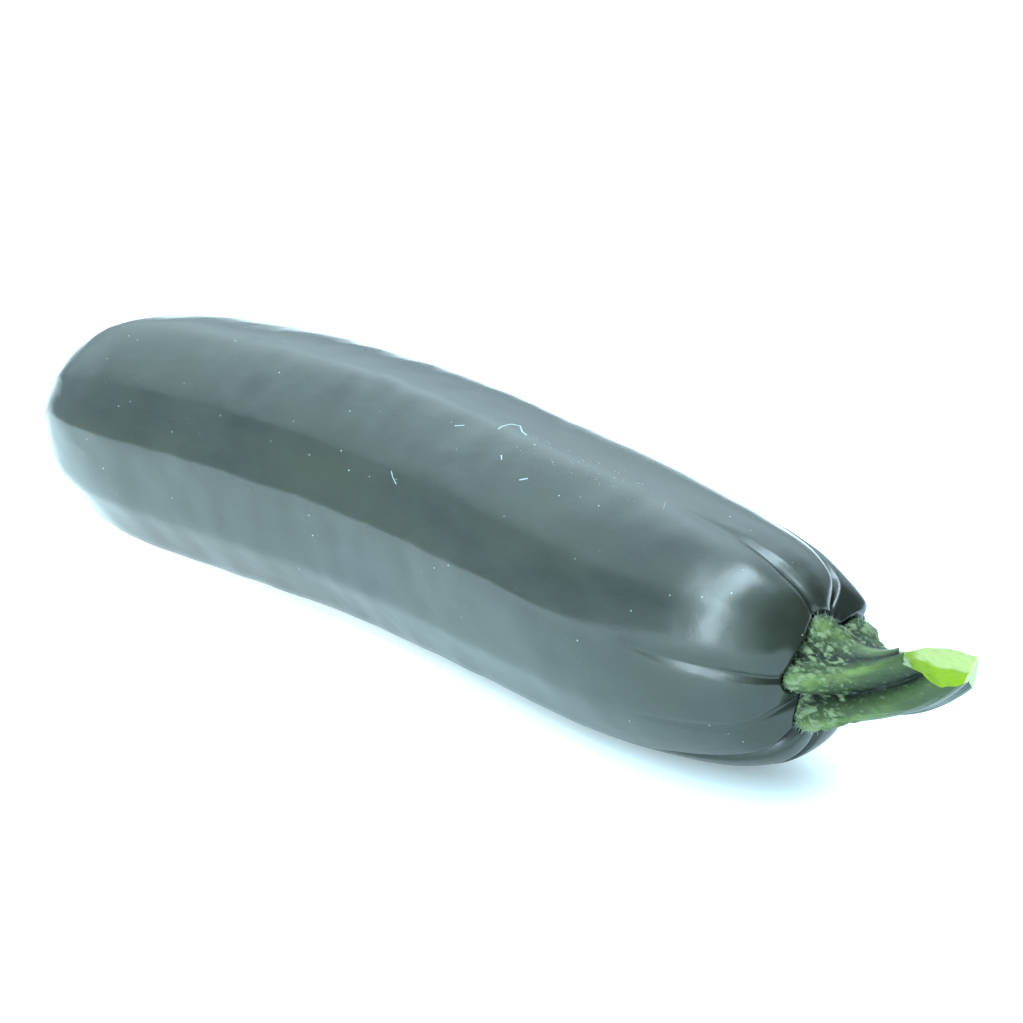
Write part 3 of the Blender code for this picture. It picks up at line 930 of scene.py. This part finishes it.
def rind_surface():
    """Ridged green rind: painted shade in the furrows, a yellower stripe on each crest, and pale warts.
    """
    made, tree, shader, place = new_surface("stalk_rind")
    crest, wart, along = (stored(tree, name) for name in ("crest", "wart", "along"))
    lengthwise = stretched(tree, place, STREAK_STRETCH)
    streaks = add_node(tree, "TexNoise", Vector=lengthwise, Scale=STREAK_SCALE, Detail=4.0).outputs["Fac"]
    patches = add_node(tree, "TexNoise", Vector=lengthwise, Scale=PATCH_SCALE, Detail=2.0).outputs["Fac"]
    height = maths(tree, "ADD", crest, maths(tree, "MULTIPLY", streaks, GREEN_STREAKS))
    height = maths(tree, "MULTIPLY", height, GREEN_SPREAD)
    # Painted shade: away from the crests the rind goes near black
    green = ramp(tree, height, (0.16, RIND_FURROW_SHADE), (0.66, RIND_GREEN))
    stripe = maths(tree, "ADD", crest, centred(tree, patches, STRIPE_PATCHES))
    stripe = maths(tree, "ADD", stripe, centred(tree, streaks, STRIPE_STREAKS))
    reach = part_of(tree, along, *STRIPE_REACH)
    striped = maths(tree, "MULTIPLY", part_of(tree, stripe, *STRIPE_SHOWS), reach)
    green = blend_colour(tree, striped, green, RIND_STRIPE)
    near_root = part_of(tree, along, *ROOT_REACH)
    fuzz_place = stretched(tree, place, FUZZ_STRETCH)
    fuzz = add_node(tree, "TexNoise", Vector=fuzz_place, Scale=FUZZ_SCALE, Detail=4.0).outputs["Fac"]
    pale = maths(tree, "ADD", wart, maths(tree, "MULTIPLY", near_root, ROOT_PALENESS))
    pale = maths(tree, "ADD", pale, centred(tree, fuzz, FUZZ_CONTRAST))
    colour = blend_colour(tree, part_of(tree, pale, *PALE_SHOWS), green, WART_PALE)
    tree.links.new(colour, shader.inputs["Base Color"])
    waxiness = ramp(tree, near_root, (0.0, grey(RIND_WAXY)), (1.0, grey(RIND_ROUGH)))
    tree.links.new(waxiness, shader.inputs["Roughness"])
    shader.inputs["Specular IOR Level"].default_value = RIND_GLEAM
    fibres = add_node(tree, "Bump", Height=streaks, Strength=0.5, Distance=STREAK_DEPTH)
    grain = add_node(tree, "TexNoise", Vector=place, Scale=RIND_GRAIN_SCALE, Detail=3.0).outputs["Fac"]
    bump = add_node(tree, "Bump", Height=grain, Strength=0.4, Distance=RIND_GRAIN_DEPTH)
    tree.links.new(fibres.outputs["Normal"], bump.inputs["Normal"])
    tree.links.new(bump.outputs["Normal"], shader.inputs["Normal"])
    return made


def flesh_surface():
    """Wet cut flesh: pale on top, lime green where it is torn down towards the rind."""
    made, tree, shader, place = new_surface("stalk_flesh")
    from_root = vector_maths(tree, "SUBTRACT", place, STALK_ROOT).outputs["Vector"]
    split = add_node(tree, "SeparateXYZ", Vector=from_root)
    x, y = split.outputs["X"], split.outputs["Y"]
    torn_place = stretched(tree, place, TEAR_STRETCH)
    torn = add_node(tree, "TexNoise", Vector=torn_place, Scale=TEAR_SCALE, Detail=4.0).outputs["Fac"]
    ragged = centred(tree, torn, TEAR_SHIFT)
    lime = part_of(tree, maths(tree, "SUBTRACT", ragged, y), *LIME_SIDE)
    step = maths(tree, "ADD", maths(tree, "ADD", x, y), ragged)
    lime = maths(tree, "MAXIMUM", lime, part_of(tree, step, *(CUT_START + far for far in LIME_STEP)))
    colour = blend_colour(tree, lime, FLESH_PALE, FLESH_LIME)
    edge = part_of(tree, step, *(CUT_START + far for far in WHITISH_STEP))
    colour = blend_colour(tree, edge, colour, FLESH_WHITISH)
    # Painted light: the end facet of the tip is made brighter than the rest of the flesh
    to_tip = maths(tree, "ADD", x, maths(tree, "MULTIPLY", y, math.tan(TIP_SKEW)))
    end = part_of(tree, to_tip, *(CUT_TIP + far for far in PAINTED_END_LIGHT_STEP))
    tree.links.new(blend_colour(tree, end, colour, FLESH_END_PAINTED_LIGHT), shader.inputs["Base Color"])
    shader.inputs["Roughness"].default_value = FLESH_WET
    shader.inputs["Specular IOR Level"].default_value = FLESH_GLEAM
    fibre_place = stretched(tree, place, FLESH_FIBRE_STRETCH)
    fibres = add_node(tree, "TexNoise", Vector=fibre_place, Scale=FLESH_FIBRE_SCALE, Detail=3.0)
    bump = add_node(tree, "Bump", Height=fibres.outputs["Fac"], Strength=0.4, Distance=FLESH_FIBRE_DEPTH)
    tree.links.new(bump.outputs["Normal"], shader.inputs["Normal"])
    return made


stalk = make_stalk()
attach(stalk, "root")
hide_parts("stalk")


# Bristles
# Short stiff white hairs that grow from the stalk's rind: thick on the feet that clasp the fruit,
# sparse further out along the ridges.

BRISTLES_PER_FOOT = 150
BRISTLES_PER_RIDGE = 12
BRISTLE_LENGTH = (0.0004, 0.0010)
BRISTLE_RADIUS = 0.000045
BRISTLE_TIP = 0.000012
BRISTLE_SIDES = 4
BRISTLE_SINK = 0.0001
# How far they scatter: in degrees round a foot and in metres out from the root, then in degrees to
# either side of a ridge
FOOT_SCATTER = (20, 0.0014)
FOOT_BRISTLES_START = 0.0002
RIDGE_SCATTER = 9
RIDGE_BRISTLES_SPAN = (0.003, 0.016)
# How they lean, on the whole and each its own way
BRISTLE_LEAN = -0.15
BRISTLE_LEAN_SPREAD = 0.35
BRISTLE_WHITE = (0.24, 0.31, 0.24, 1.0)
BRISTLE_DRY = 0.6
BRISTLE_SEED = 11


def bristle_surface():
    """Dry whitish hair, greener in places."""
    made, tree, shader, place = new_surface("stalk_bristles")
    shade = add_node(tree, "TexNoise", Vector=place, Scale=700.0, Detail=2.0)
    colour = ramp(tree, shade.outputs["Fac"], (0.35, RIND_GREEN), (0.55, BRISTLE_WHITE))
    tree.links.new(colour, shader.inputs["Base Color"])
    shader.inputs["Roughness"].default_value = BRISTLE_DRY
    return made


def bristle_sites(draw):
    """Where the bristles stand, as an angle on the stalk and a distance from its root."""
    sites = []
    round_foot, out_from_root = FOOT_SCATTER
    for angle in MAIN_ANGLES:
        for _ in range(BRISTLES_PER_FOOT):
            turned = angle + draw.gauss(0, round_foot)
            sites.append((turned, abs(draw.gauss(0, out_from_root)) + FOOT_BRISTLES_START))
        for _ in range(BRISTLES_PER_RIDGE):
            sites.append((angle + draw.gauss(0, RIDGE_SCATTER), draw.uniform(*RIDGE_BRISTLES_SPAN)))
    return sorted(sites, key=lambda site: site[1])


def make_bristles():
    """All the bristles, each a thin cone rooted in the rind."""
    draw = random.Random(BRISTLE_SEED)
    sites = bristle_sites(draw)
    frames = stalk_frames([distance for _, distance in sites])
    mesh = bmesh.new()
    for (angle, distance), frame in zip(sites, frames):
        lift = rind_relief(angle, distance)[0]
        middle, outward, radius = stalk_point(angle, distance, frame, lift)
        lean = Vector([draw.gauss(mean, BRISTLE_LEAN_SPREAD) for mean in (BRISTLE_LEAN, 0, 0)])
        way = (outward + lean).normalized()
        length = draw.uniform(*BRISTLE_LENGTH)
        place = middle + outward * (radius - BRISTLE_SINK) + way * length / 2
        turn = way.to_track_quat("Z", "Y").to_matrix().to_4x4()
        bmesh.ops.create_cone(
            mesh, cap_ends=True, cap_tris=False, segments=BRISTLE_SIDES, radius1=BRISTLE_RADIUS,
            radius2=BRISTLE_TIP, depth=length, matrix=Matrix.Translation(place) @ turn)
    return make_object(mesh, "stalk_bristles", [bristle_surface()])


bristles = make_bristles()
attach(bristles, "root")


# Table
# A plain white table top, larger than any view shows, which isn't part of the object.

TABLE_SIDE = 12.0
TABLE_WHITE = (0.80, 0.90, 0.92, 1.0)
TABLE_MATT = 0.6
# Painted light: the table glows though it is no lamp, in this colour, beside the stalk end and in the
# open
TABLE_PAINTED_GLOW_COLOUR = (0.86, 0.98, 1.0, 1.0)
TABLE_PAINTED_SHADOW_GLOW = 0.22
TABLE_PAINTED_GLOW_OPEN = 1.5
# A painted shadow: the table's glow is lowest beside the stalk end, and full further off
TABLE_PAINTED_SHADOW_AT = (0.11, -0.03, 0)
TABLE_PAINTED_SHADOW_REACH = (0.04, 0.30)


def make_table():
    """The flat table top, just under the fruit, with a painted glow and a painted shadow by the stalk
    end.
    """
    mesh = bmesh.new()
    bmesh.ops.create_grid(mesh, x_segments=1, y_segments=1, size=TABLE_SIDE / 2)
    made, tree, shader, place = new_surface("table_white")
    shader.inputs["Base Color"].default_value = TABLE_WHITE
    shader.inputs["Roughness"].default_value = TABLE_MATT
    shader.inputs["Emission Color"].default_value = TABLE_PAINTED_GLOW_COLOUR
    painted_shadow = ball_mask(tree, place, TABLE_PAINTED_SHADOW_AT, *TABLE_PAINTED_SHADOW_REACH)
    painted_glow = maths(tree, "MULTIPLY", painted_shadow, TABLE_PAINTED_SHADOW_GLOW - TABLE_PAINTED_GLOW_OPEN)
    tree.links.new(maths(tree, "ADD", painted_glow, TABLE_PAINTED_GLOW_OPEN), shader.inputs["Emission Strength"])
    return make_object(mesh, "table", [made])


table = make_table()


# Light
# Three soft lights: a large one overhead towards the blossom end, a narrow bright one overhead, and
# a tall bright one before the fruit. The pale room round them is dim past the stalk's end, and
# behind the fruit it grows brighter with height.

LIGHT_TINT = (0.66, 0.88, 1.0)
SOFTBOX_RADIANCE = 1.4
WINDOW_RADIANCE = 21.0
ROOM_DIM = 0.25
ROOM_BRIGHT = 1.8
ROOM_DIM_TOWARDS = math.radians(120)
# How nearly a direction has to point there, as a cosine, for the dim side and for the far side
ROOM_DIM_EDGE = (0.6, -0.1)
ROOM_FAR_EDGE = (0.3, 0.8)
ROOM_SEEN = 1.2
# Behind the fruit the room is brighter with height: its level at the horizon, and how fast it grows
ROOM_FAR_TOWARDS = math.radians(-130)
ROOM_FAR_LEVEL = 0.2
ROOM_FAR_GROWTH = 6.0


OVERHEAD_PLACE = (-0.85, -0.10, 1.6)
OVERHEAD_SPAN = (2.3, 3.0)
STRIP_PLACE = (-0.02, -0.35, 1.55)
STRIP_SPAN = (0.30, 1.9)
WINDOW_AZIMUTH = 6
WINDOW_ELEVATION = 27
WINDOW_DISTANCE = 1.6
WINDOW_SPAN = (0.34, 1.62)
WINDOW_AIM = (0.05, 0, 0)


def make_softbox(name, middle, span, radiance, aim):
    """A rectangular light with an even radiance, facing a point."""
    data = bpy.data.lights.new(name, "AREA")
    data.shape = "RECTANGLE"
    data.size, data.size_y = span
    data.energy = radiance * span[0] * span[1] * math.pi
    data.color = LIGHT_TINT
    light = bpy.data.objects.new(name, data)
    light.location = middle
    light.rotation_euler = (Vector(middle) - Vector(aim)).to_track_quat("Z", "Y").to_euler()
    bpy.context.scene.collection.objects.link(light)
    return light


def towards(azimuth, elevation, distance):
    """A place seen from the object at these angles: azimuth 0 is -Y and 90 is +X."""
    turn, rise = math.radians(azimuth), math.radians(elevation)
    level = math.cos(rise) * distance
    return math.sin(turn) * level, -math.cos(turn) * level, math.sin(rise) * distance


make_softbox("overhead", OVERHEAD_PLACE, OVERHEAD_SPAN, SOFTBOX_RADIANCE, (*OVERHEAD_PLACE[:2], 0))
make_softbox("strip", STRIP_PLACE, STRIP_SPAN, WINDOW_RADIANCE, (*STRIP_PLACE[:2], 0))
window_place = towards(WINDOW_AZIMUTH, WINDOW_ELEVATION, WINDOW_DISTANCE)
make_softbox("window", window_place, WINDOW_SPAN, WINDOW_RADIANCE, WINDOW_AIM)


def facing(tree, way, azimuth):
    """The cosine between a direction and the level one at this azimuth."""
    level = (math.sin(azimuth), -math.cos(azimuth), 0)
    return vector_maths(tree, "DOT_PRODUCT", way, level).outputs["Value"]


def make_room():
    """A pale room, dim on one side, that shows as white behind the table."""
    world = bpy.data.worlds.new("room")
    world.use_nodes = True
    tree = world.node_tree
    room = tree.nodes["Background"]
    room.inputs["Color"].default_value = (*LIGHT_TINT, 1.0)
    way = add_node(tree, "TexCoord").outputs["Generated"]
    share = part_of(tree, facing(tree, way, ROOM_DIM_TOWARDS), *ROOM_DIM_EDGE)
    level = maths(tree, "ADD", maths(tree, "MULTIPLY", share, ROOM_BRIGHT - ROOM_DIM), ROOM_DIM)
    far = part_of(tree, facing(tree, way, ROOM_FAR_TOWARDS), *ROOM_FAR_EDGE)
    height = maths(tree, "MAXIMUM", add_node(tree, "SeparateXYZ", Vector=way).outputs["Z"], 0.0)
    far_level = maths(tree, "ADD", maths(tree, "MULTIPLY", height, ROOM_FAR_GROWTH), ROOM_FAR_LEVEL)
    more = maths(tree, "MULTIPLY", far, maths(tree, "SUBTRACT", far_level, level))
    tree.links.new(maths(tree, "ADD", level, more), room.inputs["Strength"])
    white = add_node(tree, "Background", Color=grey(1.0), Strength=ROOM_SEEN)
    seen = add_node(tree, "LightPath").outputs["Is Camera Ray"]
    mixed = add_node(tree, "MixShader", Fac=seen)
    tree.links.new(room.outputs["Background"], mixed.inputs[1])
    tree.links.new(white.outputs["Background"], mixed.inputs[2])
    tree.links.new(mixed.outputs["Shader"], tree.nodes["World Output"].inputs["Surface"])
    bpy.context.scene.world = world


make_room()
bpy.context.scene.view_settings.view_transform = "Standard"


# Camera
# It looks down at the side of the fruit from in front of the stalk, as in the photograph.

CAMERA_LENS = 96.9
CAMERA_PLACE = (0.32543, -0.32458, 0.19891)
CAMERA_TURN = (69.522, -0.626, 44.727)
CAMERA_SENSOR = 36.0
CAMERA_NEAREST = 0.01


def make_camera():
    """The camera, set as the scene's."""
    data = bpy.data.cameras.new("camera")
    data.lens = CAMERA_LENS
    data.sensor_width = CAMERA_SENSOR
    data.clip_start = CAMERA_NEAREST
    camera = bpy.data.objects.new("camera", data)
    camera.location = CAMERA_PLACE
    camera.rotation_euler = Euler([math.radians(turn) for turn in CAMERA_TURN])
    bpy.context.scene.collection.objects.link(camera)
    bpy.context.scene.camera = camera


make_camera()
